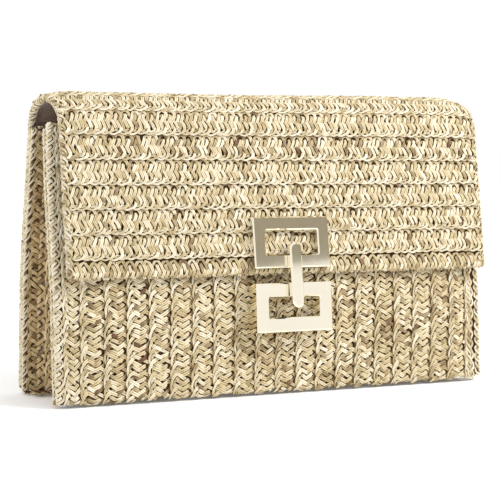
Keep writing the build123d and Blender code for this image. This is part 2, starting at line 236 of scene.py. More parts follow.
def cover_reach(x, along):
    """The crown's length draws in from the back panel's to the flap's."""
    share = np.clip((along - crown_start - 4.0) / (front_crease_at + 8.0 - crown_start), 0, 1)
    flap = (flap_half + np.where(x > 0, FLAP_RIGHT_EXTRA, 0.0)) / body_half
    return 1 - (1 - flap) * eased(share)


CROWN_FULL = 1.5           # extra height over the crown's circle
CROWN_FULL_RIGHT = 1.3     # more of it towards the right
CROWN_DROP_RIGHT = 0.8     # drop below the circle at the right end
CROWN_END = 14.0           # the fullness ends over this length


def crown_fullness(x):
    """Extra height of the crown: fuller towards the right, dropping at its right end."""
    right = np.clip((x + 30.0) / 110.0, 0, 1)
    end = np.clip((np.abs(x) - flap_half + CROWN_END) / CROWN_END, 0, 1)
    full = CROWN_FULL + CROWN_FULL_RIGHT * eased(right)
    return full * (1 - end**2) - CROWN_DROP_RIGHT * right * end**2


def on_cover(x, along, out):
    """Back, crown and flap as one cloth: x along the purse, distance up and over it.

    x runs to body_half at the edges of all three; the crown and flap are a little shorter.
    """
    y, z = cover.place(along, out)
    x = x * cover_reach(x, along)
    lifted = np.clip((z - rear_crease[2] + 30.0) / 45.0, 0, 1)
    return np.stack([x + 0 * y, y, z + crown_fullness(x) * lifted * lifted], -1)


def on_front(x, along, out):
    y, z = front.place(along, out)
    return np.stack([x + 0 * y, y + pull_in(x, z), z], -1)


def on_base(x, y, out):
    return np.stack([x, y + 0 * x, FOOT_LIFT - out], -1)


def panel_inside(z, which):
    """Y of the inner face of the back (+1) or front (-1) panel at its ends."""
    path = cover if which > 0 else front
    limit = crown_start if which > 0 else front.length
    chosen = path.distances <= limit
    y = np.interp(z, path.points[chosen][:, 1], path.points[chosen][:, 0])
    if which < 0:
        y = y + pull_in(body_half, z)
    return y - which * (2 * HEM_HALF_THICK + 0.2)


GUSSET_CLOTH = 84.0        # across the folded cloth, from seam to seam
GUSSET_FLAT = 6.0          # sewn strip at each seam
GUSSET_EDGE = 2.4          # the seams' distance inside the purse's end
GUSSET_SEAM_GAP = 3.0      # from the panels' inner faces to the cloth's middle
GUSSET_FOLD_RADIUS = 2.2


def on_gusset(side):
    """Surface of one folded gusset: across from the rear seam to the front seam, then height."""

    def place(across, z, out):
        share = across / GUSSET_CLOTH
        rear, fore = panel_inside(z, 1) - GUSSET_SEAM_GAP, panel_inside(z, -1) + GUSSET_SEAM_GAP
        middle = (rear + fore) / 2
        half = (rear - fore) / 2
        flat = GUSSET_FLAT / GUSSET_CLOTH
        to_rear = share < 0.5
        u = np.where(to_rear, share, 1 - share)
        wing = np.clip((u - flat) / (0.5 - flat), 0, 1)
        # along the wing the cloth runs inwards and towards the fold, rounding at both ends
        round_in = np.sqrt(wing**2 + 0.004) - math.sqrt(0.004)
        tip = np.clip((wing - 0.9) / 0.1, 0, 1)
        depth = GUSSET_EDGE + np.minimum(u, flat) * GUSSET_CLOTH
        depth = depth + (fold_x - GUSSET_EDGE - 5.0) * round_in - 1.2 * tip**2
        away = half * (1 - wing) + GUSSET_FOLD_RADIUS * np.sqrt(np.clip(1 - wing, 0, 1)) * wing
        away = np.minimum(away, half)
        y = middle + np.where(to_rear, away, -away)
        inward = half / np.hypot(half, fold_x - 8.0)
        lean = fold_x / np.hypot(half, fold_x)
        blend_in = np.clip(wing * 8, 0, 1) * np.clip((1 - wing) * 8, 0, 1)
        normal_x = 0.15 + inward * blend_in + 0.85 * tip
        normal_y = np.where(to_rear, -1, 1) * (lean * (1 - tip) + 0.1)
        size = np.hypot(normal_x, normal_y)
        x = side * (body_half - depth + out * normal_x / size)
        y = y + out * normal_y / size
        return np.stack([x, y, z + 0 * x], -1)

    return place


# ---- meshes ----------------------------------------------
def make_object(name, points, quads, pentagons=None, grain=None, tone=None):
    """Object from points in millimetres, four-sided faces and five-sided end caps."""
    groups = [quads] if pentagons is None or len(pentagons) == 0 else [quads, pentagons]
    triangles = np.concatenate([quads[:, [0, 1, 2]], quads[:, [0, 2, 3]]])
    a, b, c = (points[triangles[:, k]] for k in range(3))
    if (a * np.cross(b, c)).sum() < 0:
        groups = [group[:, ::-1] for group in groups]
    corners = np.concatenate([group.ravel() for group in groups]).astype(np.int32)
    sizes = np.concatenate([np.full(len(group), group.shape[1]) for group in groups])
    starts = np.concatenate([[0], np.cumsum(sizes)[:-1]]).astype(np.int32)
    mesh = bpy.data.meshes.new(name)
    mesh.vertices.add(len(points))
    mesh.vertices.foreach_set("co", (points * MM).astype(np.float32).ravel())
    mesh.loops.add(len(corners))
    mesh.loops.foreach_set("vertex_index", corners)
    mesh.polygons.add(len(starts))
    mesh.polygons.foreach_set("loop_start", starts)
    mesh.update(calc_edges=True)
    mesh.validate()
    mesh.polygons.foreach_set("use_smooth", np.ones(len(mesh.polygons), bool))
    if grain is not None:
        layer = mesh.attributes.new("grain", "FLOAT_VECTOR", "POINT")
        layer.data.foreach_set("vector", grain.astype(np.float32).ravel())
    if tone is not None:
        layer = mesh.attributes.new("tone", "FLOAT", "POINT")
        layer.data.foreach_set("value", tone.astype(np.float32).ravel())
    thing = bpy.data.objects.new(name, mesh)
    bpy.context.scene.collection.objects.link(thing)
    return thing


def tube_faces(rings, sides, offset=0):
    """Side quads and end caps of a tube of rings."""
    ring = np.arange(rings - 1)[:, None] * sides
    around = np.arange(sides)[None, :]
    after = (around + 1) % sides
    quads = np.stack([ring + around, ring + after, ring + sides + after, ring + sides + around], -1)
    quads = quads.reshape(-1, 4) + offset
    caps = np.stack([np.arange(sides)[::-1], (rings - 1) * sides + np.arange(sides)]) + offset
    return quads, caps


STRAW_SECTION = np.array(
    [(-1.0, 0.0), (-0.72, 0.85), (-0.36, 1.0), (0.0, 0.5), (0.36, 1.0), (0.72, 0.85), (1.0, 0.0)]
)
# painted shade: across a straw the tone falls to dark at its two edges, in the gaps between straws, and
# dips in the groove down its middle
SECTION_PAINTED_SHADE = np.array([0.0, 0.85, 1.0, 0.3, 1.0, 0.85, 0.0])
SECTION_SIZE = len(STRAW_SECTION)
TABLE_SIZE = 720           # steps of a strand's tables over one period
RINGS_PER_PERIOD = 28
BAND_SHIFT = 0.8           # the weave's bands lie this far off the braid's middle
STRAW_TONE = 0.56
STRAW_TONE_SPREAD = 0.13


def soft_period(values):
    """Periodic table of values with its corners rounded."""
    count = len(values)
    distance = (np.arange(count) + count // 2) % count - count // 2
    kernel = np.exp(-0.5 * (distance / (TURN_SOFTNESS * count)) ** 2)
    return np.real(np.fft.ifft(np.fft.fft(values) * np.fft.fft(kernel / kernel.sum())))


def strand_tables(runs_along_edge):
    """Swing from -1 to 1, over-and-under sign and width of a strand, over one period."""
    share = np.linspace(0, 1, TABLE_SIZE, endpoint=False)
    if runs_along_edge:
        turns = [0, 0.31, 0.42, 0.5, 0.58, 0.69, 1]
        swing = np.interp(share, turns, [-1, 0.86, 1.0, 1.06, 1.0, 0.86, -1])
        over = np.interp(share, [0, 1 / 3, 0.55, 0.66, 1], [1, 1, 0.6, -1, -1])
        width = np.interp(share, [0, 0.3, 0.36, 0.64, 0.7, 1], [1, 1, EDGE_KEEP, EDGE_KEEP, 1, 1])
    else:
        swing = np.interp(share, [0, 0.5, 1], [-1, 1, -1])
        over = np.where(share < 0.5, 1.0, -1.0)
        width = np.ones(share.shape)
    return share, soft_period(swing), soft_period(over), soft_period(width)


def braid_sizes(repeat, edge, sunk, runs_along_edge=True):
    """Width of a straw, and how far a braid reaches on its sunk side and its sewn-on side."""
    run = repeat if runs_along_edge else 1.5 * repeat
    slope = (edge + sunk) / run
    pitch = repeat * slope / math.hypot(1, slope) / STRAWS
    keep = EDGE_KEEP if runs_along_edge else 1.0
    return pitch, sunk + STRAWS * pitch / 2, edge + keep * STRAWS * pitch / 2


def waver(distance, size, length, phase):
    """Slow waver along a straw, so that no two stretches are alike."""
    return size * np.sin(distance / length + phase)


def plait(
    name, place, start, end, middle, repeat, raised, seed,
    edge=SWING_EDGE, sunk=SWING_SUNK, tilt=EDGE_TILT, painted_shade=0.0, covered=NOT_COVERED,
):
    """Flat braid of three strands of straws.

    place(along, across, out) gives points; the braid runs from start to end along, about `middle`
    across. raised is +1 or -1: the side of the braid that lies on top of its neighbour, 0 for a
    hem. The straws are in shade beyond `covered` from the middle, under the neighbour's edge.
    """
    rng = np.random.default_rng(seed)
    hand = raised if raised else 1
    pitch, _, _ = braid_sizes(repeat, edge, sunk, raised != 0)
    period = 3 * repeat
    share, swing_table, over_table, width_table = strand_tables(raised != 0)
    position_table = (swing_table + 1) / 2 * (edge + sunk) - sunk
    one_period = slice(TABLE_SIZE, 2 * TABLE_SIZE)
    slope_table = np.gradient(np.tile(position_table, 3))[one_period] * TABLE_SIZE / period
    bend_table = np.gradient(np.tile(slope_table, 3))[one_period] * TABLE_SIZE / period
    steps = max(8, int((end - start) / period * RINGS_PER_PERIOD))
    ring_at = np.linspace(start, end, steps)
    first_share = rng.uniform(0, 1)
    slow = rng.uniform(0, 2 * math.pi, 6)
    points, quads, caps, grains, tones = [], [], [], [], []
    count = 0
    for strand in range(3):
        drift = waver(ring_at, 0.03, 17.0, slow[strand]) + waver(ring_at, 0.022, 4.3, slow[strand + 3])
        at = (ring_at / period + strand / 3 + first_share + drift) % 1.0

        def read(table):
            return np.interp(at, share, table, period=1.0)

        slope = hand * read(slope_table)
        centre = hand * read(position_table)
        size = np.hypot(1, slope)
        normal_along, normal_across = -slope / size, 1 / size
        bend = hand * read(bend_table) / size**3
        over, width = read(over_table), read(width_table)
        for number in range(STRAWS):
            straw = number - (STRAWS - 1) / 2
            jitter = rng.uniform(0, 2 * math.pi, 4)
            loose = waver(ring_at, 0.1, 6.1, jitter[0]) + waver(ring_at, 0.12, 1.9, jitter[1])
            offset = pitch * (straw + loose) * width
            along = ring_at + normal_along * offset
            across = centre + normal_across * offset
            if raised:
                on_top = np.tanh(2.5 * np.sin(math.pi * (hand * across + BAND_SHIFT) / WEAVE_BAND))
            else:
                on_top = np.tanh(3.0 * across / edge)
            lift = STRAND_LIFT * over * on_top + raised * tilt * across / edge
            lift = lift + waver(ring_at, 0.12, 1.7, jitter[2])
            tight = np.clip(1 - bend * offset, 0.35, 1.0)
            half = 0.5 * pitch * STRAW_FILL * tight * width
            half = half * (1 + waver(ring_at, 0.1, 3.1, jitter[3]))
            rings, shadows = [], []
            for wide, high in STRAW_SECTION:
                ring_along = along + normal_along * half * wide
                ring_across = across + normal_across * half * wide
                out = lift + STRAW_CROWN * high - (STRAW_BELLY if high == 0 else 0)
                rings.append(place(ring_along, middle + ring_across, out - BRAID_DEPTH))
                shadows.append(np.clip((-raised * ring_across - covered) / 1.2, 0, 1))
            points.append(np.stack(rings, 1).reshape(-1, 3))
            side, cap = tube_faces(steps, SECTION_SIZE, offset=count)
            quads.append(side)
            caps.append(cap)
            grain = np.zeros((steps, SECTION_SIZE, 3))
            grain[:, :, 0] = STRAW_SECTION[None, :, 0] * half[:, None]
            grain[:, :, 1] = ring_at[:, None]
            grain[:, :, 2] = (seed * 9 + strand * 3 + number) * 7.3
            grains.append(grain.reshape(-1, 3))
            wander = waver(ring_at, 0.14, 1.1 * repeat, jitter[0])
            wander = wander + waver(ring_at, 0.12, 1.5, jitter[1])
            # painted light: where a strand runs along the sewn-on edge and lies on top, its straws are
            # painted lighter
            # painted shade: the shade argument lowers the straws' tone; below zero it raises it, as
            # painted light
            base_tone = rng.normal(STRAW_TONE - painted_shade, STRAW_TONE_SPREAD) + 0.25 * (1 - width)
            # painted shade: the tone darkens on the inside of a strand's tight turns
            turn_painted_shade = np.clip((tight - 0.35) / 0.3, 0.35, 1)
            tone = np.clip((base_tone + wander) * turn_painted_shade, 0, 1)[:, None] * SECTION_PAINTED_SHADE[None, :]
            tones.append((tone * (1 - 0.85 * np.stack(shadows, 1))).ravel())
            count += steps * SECTION_SIZE
    arrays = [np.concatenate(part) for part in (points, quads, caps, grains, tones)]
    return make_object(name, *arrays)


def round_edge(place, edge, half_thick):
    """Surface wrapped round the edge of a panel: across 0 is the edge's outermost line."""
    side = 1 if edge > 0 else -1
    middle_radius = half_thick - BRAID_DEPTH
    quarter = middle_radius * math.pi / 2

    def wrapped(along, across, out):
        angle = np.clip(across / middle_radius, -math.pi / 2, math.pi / 2)
        strip = np.maximum(np.abs(across) - quarter, 0)
        x = edge - side * (half_thick + strip) + side * (half_thick + out) * np.cos(angle)
        return place(x, along, (half_thick + out) * np.sin(angle) - half_thick)

    return wrapped


def route_axes(route, wide):
    """Distances along a route of points, and its axes; the second is `wide` made square to it."""
    run = np.concatenate([[0], np.cumsum(np.linalg.norm(np.diff(route, axis=0), axis=1))])
    ahead = np.gradient(route, axis=0)
    ahead /= np.linalg.norm(ahead, axis=1)[:, None]
    wide = np.array(wide, float)
    side = wide - (ahead @ wide)[:, None] * ahead
    side /= np.linalg.norm(side, axis=1)[:, None]
    return run, ahead, side, np.cross(ahead, side)


def round_route(route, wide, radius):
    """Surface of a tube round a route: along is the distance, across the way round."""
    run, _, side, up = route_axes(route, wide)

    def wrapped(along, across, out):
        def read(values):
            return np.stack([np.interp(along, run, values[:, k]) for k in range(3)], -1)

        angle = (across / (radius - BRAID_DEPTH))[..., None]
        away = (radius + out)[..., None]
        return read(route) + away * (np.cos(angle) * read(side) + np.sin(angle) * read(up))

    return wrapped, run[-1]


def slab(name, place, us, vs, near, far):
    """Closed sheet between two depths of a surface, over a grid of us and vs."""
    u, v = np.meshgrid(us, vs, indexing="ij")
    layers = [place(u, v, np.full(u.shape, float(depth))).reshape(-1, 3) for depth in (near, far)]
    nu, nv = len(us), len(vs)
    index = np.arange(nu * nv).reshape(nu, nv)
    face = np.stack([index[:-1, :-1], index[1:, :-1], index[1:, 1:], index[:-1, 1:]], -1).reshape(-1, 4)
    rim = np.concatenate([index[0, :], index[1:, -1], index[-1, -2::-1], index[-2:0:-1, 0]])
    after = np.roll(rim, -1)
    total = nu * nv
    sides = np.stack([rim, rim + total, after + total, after], -1)
    quads = np.concatenate([face, face[:, ::-1] + total, sides])
    points = np.concatenate(layers)
    grain = np.stack([np.tile(u.ravel(), 2), np.tile(v.ravel(), 2), np.zeros(2 * total)], -1)
    return make_object(name, points, quads, None, grain)


def rod(name, route, half_wide, thick, wide, ring_count=14):
    """Closed tube with an oval section along a route; `wide` is the direction of half_wide."""
    run, ahead, side, up = route_axes(route, wide)
    angle = np.linspace(0, 2 * math.pi, ring_count, endpoint=False)
    ring = (
        route[:, None, :]
        + side[:, None, :] * (np.cos(angle) * half_wide)[None, :, None]
        + up[:, None, :] * (np.sin(angle) * thick)[None, :, None]
    )
    quads, _ = tube_faces(len(route), ring_count)
    points = ring.reshape(-1, 3)
    ends = np.array([route[0] - ahead[0] * thick * 0.4, route[-1] + ahead[-1] * thick * 0.4])
    total = len(points)
    points = np.concatenate([points, ends])
    around = np.arange(0, ring_count, 2)
    fans = [around, (around + 1) % ring_count, (around + 2) % ring_count]
    first = np.stack([np.full(len(around), total), *fans[::-1]], -1)
    last_ring = (len(route) - 1) * ring_count
    last = np.stack([np.full(len(around), total + 1), *[last_ring + fan for fan in fans]], -1)
    quads = np.concatenate([quads, first, last])
    grain = np.zeros((len(route), ring_count, 3))
    grain[:, :, 0] = (angle * (half_wide + thick) / 2)[None, :]
    grain[:, :, 1] = run[:, None]
    grain = np.concatenate([grain.reshape(-1, 3), np.zeros((2, 3))])
    return make_object(name, points, quads, None, grain)


# ---- materials -------------------------------------------
def new_material(name):
    material = bpy.data.materials.new(name)
    material.use_nodes = True
    tree = material.node_tree
    shader = tree.nodes["Principled BSDF"]
    return material, tree, shader


def node(tree, kind, **settings):
    made = tree.nodes.new(kind)
    for key, value in settings.items():
        setattr(made, key, value)
    return made


def ramp(tree, factor, stops):
    made = node(tree, "ShaderNodeValToRGB")
    tree.links.new(factor, made.inputs["Fac"])
    while len(made.color_ramp.elements) < len(stops):
        made.color_ramp.elements.new(0.5)
    for element, (position, colour) in zip(made.color_ramp.elements, stops):
        element.position = position
        element.color = (*colour, 1)
    return made.outputs["Color"]


def attribute(tree, name, output):
    return node(tree, "ShaderNodeAttribute", attribute_name=name).outputs[output]


def stretched(tree, vector, scale):
    mapping = node(tree, "ShaderNodeMapping")
    mapping.inputs["Scale"].default_value = scale
    tree.links.new(vector, mapping.inputs["Vector"])
    return mapping.outputs["Vector"]


def noise(tree, vector, scale, detail=3.0, rough=0.6):
    made = node(tree, "ShaderNodeTexNoise")
    tree.links.new(vector, made.inputs["Vector"])
    made.inputs["Scale"].default_value = scale
    made.inputs["Detail"].default_value = detail
    made.inputs["Roughness"].default_value = rough
    return made.outputs["Fac"]


def math_node(tree, operation, first, second):
    made = node(tree, "ShaderNodeMath", operation=operation)
    for index, value in enumerate((first, second)):
        if isinstance(value, (int, float)):
            made.inputs[index].default_value = value
        else:
            tree.links.new(value, made.inputs[index])
    return made.outputs[0]


def mix(tree, blend, share, first, second):
    made = node(tree, "ShaderNodeMix", data_type="RGBA", blend_type=blend)
    for name, value in (("Factor", share), ("A", first), ("B", second)):
        sockets = [item for item in made.inputs if item.name == name and item.enabled]
        if isinstance(value, (int, float)):
            sockets[0].default_value = value
        elif isinstance(value, tuple):
            sockets[0].default_value = (*value, 1)
        else:
            tree.links.new(value, sockets[0])
    return next(item for item in made.outputs if item.enabled)


def bump(tree, shader, height, strength, distance):
    made = node(tree, "ShaderNodeBump")
    made.inputs["Strength"].default_value = strength
    made.inputs["Distance"].default_value = distance
    tree.links.new(height, made.inputs["Height"])
    tree.links.new(made.outputs["Normal"], shader.inputs["Normal"])


def vary_roughness(tree, shader, value, low, high):
    made = node(tree, "ShaderNodeMapRange")
    tree.links.new(value, made.inputs["Value"])
    made.inputs["To Min"].default_value = low
    made.inputs["To Max"].default_value = high
    tree.links.new(made.outputs["Result"], shader.inputs["Roughness"])


FIBRE_SHARE = 0.22         # how much the fibres change a straw's tone
STAIN_SHARE = 0.35


def straw_material(name, light, body, dark):
    """Dry plant straw: lengthwise fibres, tone that differs from straw to straw, satin gloss."""
    material, tree, shader = new_material(name)
    grain = attribute(tree, "grain", "Vector")
    fibres = noise(tree, stretched(tree, grain, (2.6, 0.16, 1.0)), 1.0, 4.0, 0.65)
    blotches = noise(tree, stretched(tree, grain, (0.3, 0.12, 1.0)), 1.0, 2.0)
    # the tone attribute holds each straw's own tone and the painted shade that plait() multiplies into
    # it
    tone = attribute(tree, "tone", "Fac")
    value = math_node(tree, "ADD", tone, math_node(tree, "MULTIPLY", fibres, FIBRE_SHARE))
    colour = ramp(tree, value, [(0.14, dark), (0.5, body), (0.9, light)])
    stain = ramp(tree, blotches, [(0.3, (0.80, 0.72, 0.58)), (0.6, (1, 1, 1))])
    colour = mix(tree, "MULTIPLY", STAIN_SHARE, colour, stain)
    tree.links.new(colour, shader.inputs["Base Color"])
    vary_roughness(tree, shader, fibres, 0.38, 0.62)
    shader.inputs["Specular IOR Level"].default_value = 0.45
    bump(tree, shader, fibres, 0.35, 0.0002)
    return material


def cloth_material(name, light, dark, thread, sheen, roughness):
    """Woven cloth: fine crossing threads, slow colour change and a soft sheen."""
    material, tree, shader = new_material(name)
    grain = attribute(tree, "grain", "Vector")
    warp = node(tree, "ShaderNodeTexWave", wave_type="BANDS", bands_direction="X")
    weft = node(tree, "ShaderNodeTexWave", wave_type="BANDS", bands_direction="Y")
    for wave in (warp, weft):
        tree.links.new(grain, wave.inputs["Vector"])
        wave.inputs["Scale"].default_value = thread
        wave.inputs["Distortion"].default_value = 0.6
        wave.inputs["Detail"].default_value = 1.0
    weave = math_node(tree, "MULTIPLY", warp.outputs["Fac"], weft.outputs["Fac"])
    clouds = noise(tree, grain, 0.09, 3.0)
    threads = math_node(tree, "MULTIPLY", weave, 0.35)
    value = math_node(tree, "ADD", threads, math_node(tree, "MULTIPLY", clouds, 0.65))
    tree.links.new(ramp(tree, value, [(0.25, dark), (0.7, light)]), shader.inputs["Base Color"])
    shader.inputs["Roughness"].default_value = roughness
    shader.inputs["Sheen Weight"].default_value = sheen
    shader.inputs["Sheen Roughness"].default_value = 0.4
    bump(tree, shader, weave, 0.3, 0.0002)
    return material


def metal_material(name, base, roughness, scratch):
    """Plated metal with faint handling marks."""
    material, tree, shader = new_material(name)
    place = node(tree, "ShaderNodeTexCoord").outputs["Object"]
    marks = noise(tree, stretched(tree, place, (900, 900, 140)), 1.0, 4.0)
    smudge = noise(tree, place, 60, 3.0)
    tint = ramp(tree, smudge, [(0.3, tuple(0.96 * c for c in base)), (0.7, base)])
    tree.links.new(tint, shader.inputs["Base Color"])
    vary_roughness(tree, shader, smudge, roughness, roughness + scratch)
    shader.inputs["Metallic"].default_value = 1.0
    bump(tree, shader, marks, 0.02, 0.00005)
    return material


straw_light = straw_material("straw", (0.82, 0.765, 0.63), (0.58, 0.47, 0.26), (0.11, 0.048, 0.008))
# painted shade: a darker, warmer copy of the straw for the gussets, which sit in shade inside the
# purse's ends
straw_gusset_painted_shade = straw_material(
    "straw_gusset_painted_shade", (0.84, 0.68, 0.42), (0.55, 0.40, 0.19), (0.09, 0.04, 0.010)
)
# painted shade: the cloth under the braids and the hems' cores are coloured dark for the shade in the
# gaps between straws
backing_cloth_painted_shade = cloth_material(
    "backing_cloth_painted_shade", (0.16, 0.085, 0.032), (0.07, 0.034, 0.012), 0.5, 0.0, 0.9
)
satin = cloth_material("lining_satin", (0.27, 0.192, 0.147), (0.19, 0.132, 0.10), 0.9, 0.35, 0.38)
gold = metal_material("pale_gold", (0.97, 0.90, 0.74), 0.03, 0.03)
steel = metal_material("steel", (0.62, 0.61, 0.60), 0.25, 0.1)
board_card = cloth_material("board_card", (0.36, 0.31, 0.25), (0.25, 0.21, 0.17), 0.3, 0.0, 0.9)


def finish_piece(piece, material):
    piece.data.materials.append(material)
    return piece


# ---- braided panels --------------------------------------
def swapped(place):
    """The same surface with across before along, for braids that run up a panel."""
    return lambda along, across, out: place(across, along, out)


BEND_ON_CROWN = 6.0        # a crease's end, as crease_blend works it out, lies this far onto the crown
BEND_BESIDE = 5.0          # and this far onto the back or the flap


def crease_blend(piece, bodies, out=-2.0):
    """Bake the transform of a cloth that spans one of the crown's two creases, which `bodies` picks;
    the crease's ends are worked out at a depth `out` of the cover but not used.
    """
    if bodies == ("body", "crown"):
        ends = np.array([crown_start - BEND_BESIDE, crown_start + BEND_ON_CROWN])
    else:
        ends = np.array([front_crease_at - BEND_ON_CROWN, front_crease_at + BEND_BESIDE])
    start, end = on_cover(np.array([0.0, 0.0]), ends, out)
    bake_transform(piece)


SIDES = ((-1, "left"), (1, "right"))
HEM_BAND = 4.6             # the braids stop under the hem's band

LAST_ROW_EDGE = 11.3       # the last whole row's sewn-on edge is this far above the flap's edge
bottom_edges = [cover_flap_end + 4.2, cover_flap_end - LAST_ROW_EDGE]
while bottom_edges[-1] > ROW_PITCH + 2:
    bottom_edges.append(bottom_edges[-1] - ROW_PITCH)
_, row_reach, row_drawn = braid_sizes(ROW_REPEAT, SWING_EDGE, SWING_SUNK)
row_covered = ROW_PITCH - row_drawn - 0.1

for index, bottom in enumerate(bottom_edges):
    middle = bottom - row_drawn
    edge, sunk = SWING_EDGE, SWING_SUNK
    covered, tilt = row_covered, EDGE_TILT
    if index == 0:
        edge, sunk = FOLD_ROW_SWINGS
        covered, tilt = NOT_COVERED, 0.12
        middle = cover_flap_end - 0.6
    elif crown_start < middle < front_crease_at + ROW_PITCH / 2:
        covered, tilt = NOT_COVERED, 0.25
    low, high = middle - row_reach + 3, middle + row_drawn
    reach = body_half - (2.6 if middle > crown_start else HEM_BAND - 1.0)
    name = f"cover_braid_{index + 1:02d}"
    piece = plait(
        name, on_cover, -reach, reach, middle, ROW_REPEAT, 1, 100 + index, edge, sunk,
        tilt=tilt, covered=covered,
    )
    finish_piece(piece, straw_light)
    if low < crown_start < high:
        crease_blend(piece, ("body", "crown"), 0.0)
    elif low < front_crease_at < high:
        crease_blend(piece, ("crown", "flap"), 0.0)
    else:
        body = "body" if high <= crown_start else ("crown" if high <= front_crease_at else "flap")
        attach(piece, body)

FIRST_COLUMN_EDGE = 13.6   # sewn-on edge of the second column, from the panel's left end
COLUMN_FOOT = 6.8          # the columns' start along the front path, past the base's bend
CORNER_FOOT = 8.0          # the same for the two columns at the ends
_, _, column_drawn = braid_sizes(COLUMN_REPEAT, SWING_EDGE, SWING_SUNK)
column_covered = COLUMN_PITCH - column_drawn - 0.3
column_edges = [-body_half + HEM_BAND]
while column_edges[-1] < body_half - HEM_BAND - COLUMN_PITCH / 2:
    column_edges.append(-body_half + FIRST_COLUMN_EDGE + COLUMN_PITCH * (len(column_edges) - 1))
column_edges[-1] = body_half - HEM_BAND
for index, (left, right) in enumerate(zip(column_edges, column_edges[1:])):
    last_column = index == len(column_edges) - 2
    width = right - left
    edge, sunk = SWING_EDGE, SWING_SUNK
    if index == 0 or last_column:
        edge = SWING_EDGE * min(width / COLUMN_PITCH, 1.0)
        sunk = SWING_SUNK * min(width / COLUMN_PITCH, 1.0) - (2.0 if last_column else 0.0)
    _, _, drawn = braid_sizes(COLUMN_REPEAT, edge, sunk)
    middle = left + drawn - (0.4 if last_column else 0.0)
    # painted shade: the front's braids are painted a little darker (0.04)
    piece = plait(
        f"front_braid_{index + 1:02d}", swapped(on_front),
        CORNER_FOOT if index == 0 or last_column else COLUMN_FOOT, front.length - 2.5, middle,
        COLUMN_REPEAT, -1, 300 + index, edge, sunk,
        tilt=0.5, covered=NOT_COVERED if last_column else column_covered, painted_shade=0.04,
    )
    finish_piece(piece, straw_light)
    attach(piece, "front")

BASE_ROWS = 4
for index in range(BASE_ROWS):
    span = 2 * (foot_y + 3.0)
    middle = -span / 2 + span * (index + 0.5) / BASE_ROWS
    reach = body_half - fold_x + (fold_x - 10.0) * max(abs(middle) - 4.0, 0) / foot_y
    piece = plait(
        f"base_braid_{index + 1:02d}", on_base, -reach, reach, middle, ROW_REPEAT, 1, 500 + index,
        *BASE_SWINGS, tilt=0.3,
    )
    finish_piece(piece, straw_light)
    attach(piece, "body")


# ---- cloths under the braids and linings -----------------
def spaced(first, last, step):
    return np.linspace(first, last, max(2, int(abs(last - first) / step) + 1))


def cover_backing(name, first, last, bodies):
    """Cloth under the braids of the cover, coloured dark as painted shade, carried across a crease."""
    across = spaced(-cloth_half, cloth_half, 6)
    piece = slab(name, on_cover, across, spaced(first, last, 1.6), *BACKING)
    finish_piece(piece, backing_cloth_painted_shade)
    crease_blend(piece, bodies)
    return piece


PANEL_CLOTH_START = 7.0    # where the dark cloth starts along a panel's path, past the base
cloth_half = body_half - CLOTH_INSET
crown_cloth_end = crown_middle + 0.3
flap_cloth_end = cover_flap_end - 1.0
back_backing = cover_backing("back_backing", PANEL_CLOTH_START, crown_start + 1.0, ("body", "crown"))
crown_backing = cover_backing("crown_backing", crown_start, crown_cloth_end, ("body", "crown"))
flap_backing = cover_backing("flap_backing", crown_middle, flap_cloth_end, ("crown", "flap"))
front_backing = slab(
    "front_backing", on_front, spaced(-cloth_half, cloth_half, 6),
    spaced(PANEL_CLOTH_START, front.length - 1, 3), *BACKING,
)
finish_piece(front_backing, backing_cloth_painted_shade)
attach(front_backing, "front")
base_end = body_half - fold_x - 1.0
base_backing = slab(
    "base_backing", on_base, spaced(-base_end, base_end, 8),
    spaced(-foot_y - 2, foot_y + 2, 5), *BACKING,
)
finish_piece(base_backing, backing_cloth_painted_shade)
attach(base_backing, "body")


def puckered(place, depth=0.35):
    """Surface with the shallow puckers of a lining that is a little larger than its panel."""

    def moved(u, v, out):
        pucker = np.sin(u / 9.0 + 1.7 * np.sin(v / 23.0)) * np.sin(v / 31.0 + u / 41.0)
        return place(u, v, out - depth * pucker)

    return moved


def lining_cloth(name, place, across, along):
    piece = slab(name, puckered(place), across, along, *LINING)
    return finish_piece(piece, satin)


FLAP_LINING_INSET = 3.4    # from the flap's end to its lining
BASE_LINING_INSET = 42
lining_half = body_half - 2 * HEM_HALF_WIDTH + 1.0
panel_lining_across = spaced(-lining_half, lining_half, 3.5)
flap_lining_across = spaced(-body_half + FLAP_LINING_INSET, body_half - FLAP_LINING_INSET, 3.5)
base_lining_across = spaced(-body_half + BASE_LINING_INSET, body_half - BASE_LINING_INSET, 4)
lining_seam = front_crease_at - 7.0    # where the crown's lining ends and the flap's starts
back_lining = lining_cloth(
    "back_lining_cloth", on_cover, panel_lining_across, spaced(8.0, crown_start + 2.0, 2.5)
)
crown_lining = lining_cloth(
    "crown_lining_cloth", on_cover, flap_lining_across, spaced(crown_start + 2.0, lining_seam, 1.4)
)
flap_lining = lining_cloth(
    "flap_lining_cloth", on_cover, flap_lining_across, spaced(lining_seam, cover_flap_end - 3.0, 1.6)
)
front_lining = lining_cloth(
    "front_lining_cloth", on_front, panel_lining_across, spaced(8.0, front.length - 2.0, 2.5)
)
base_lining = lining_cloth(
    "base_lining_cloth", on_base, base_lining_across, spaced(-foot_y - 3, foot_y + 3, 3)
)
crease_blend(back_lining, ("body", "crown"))
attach(crown_lining, "crown")
crease_blend(flap_lining, ("crown", "flap"))
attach(front_lining, "front")
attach(base_lining, "body")

# ---- hems ------------------------------------------------
def edge_route(path_place, side_x, first, last, out):
    along = spaced(first, last, 1.0)
    return path_place(np.full(along.shape, float(side_x)), along, np.full(along.shape, float(out)))


def core_of(name, route, half_width, half_thick, wide=(1, 0, 0)):
    """Cloth cord inside a braided hem, a little shorter than it."""
    cord = rod(name, route[2:-2], half_width, half_thick, wide, 8)
    return finish_piece(cord, backing_cloth_painted_shade)


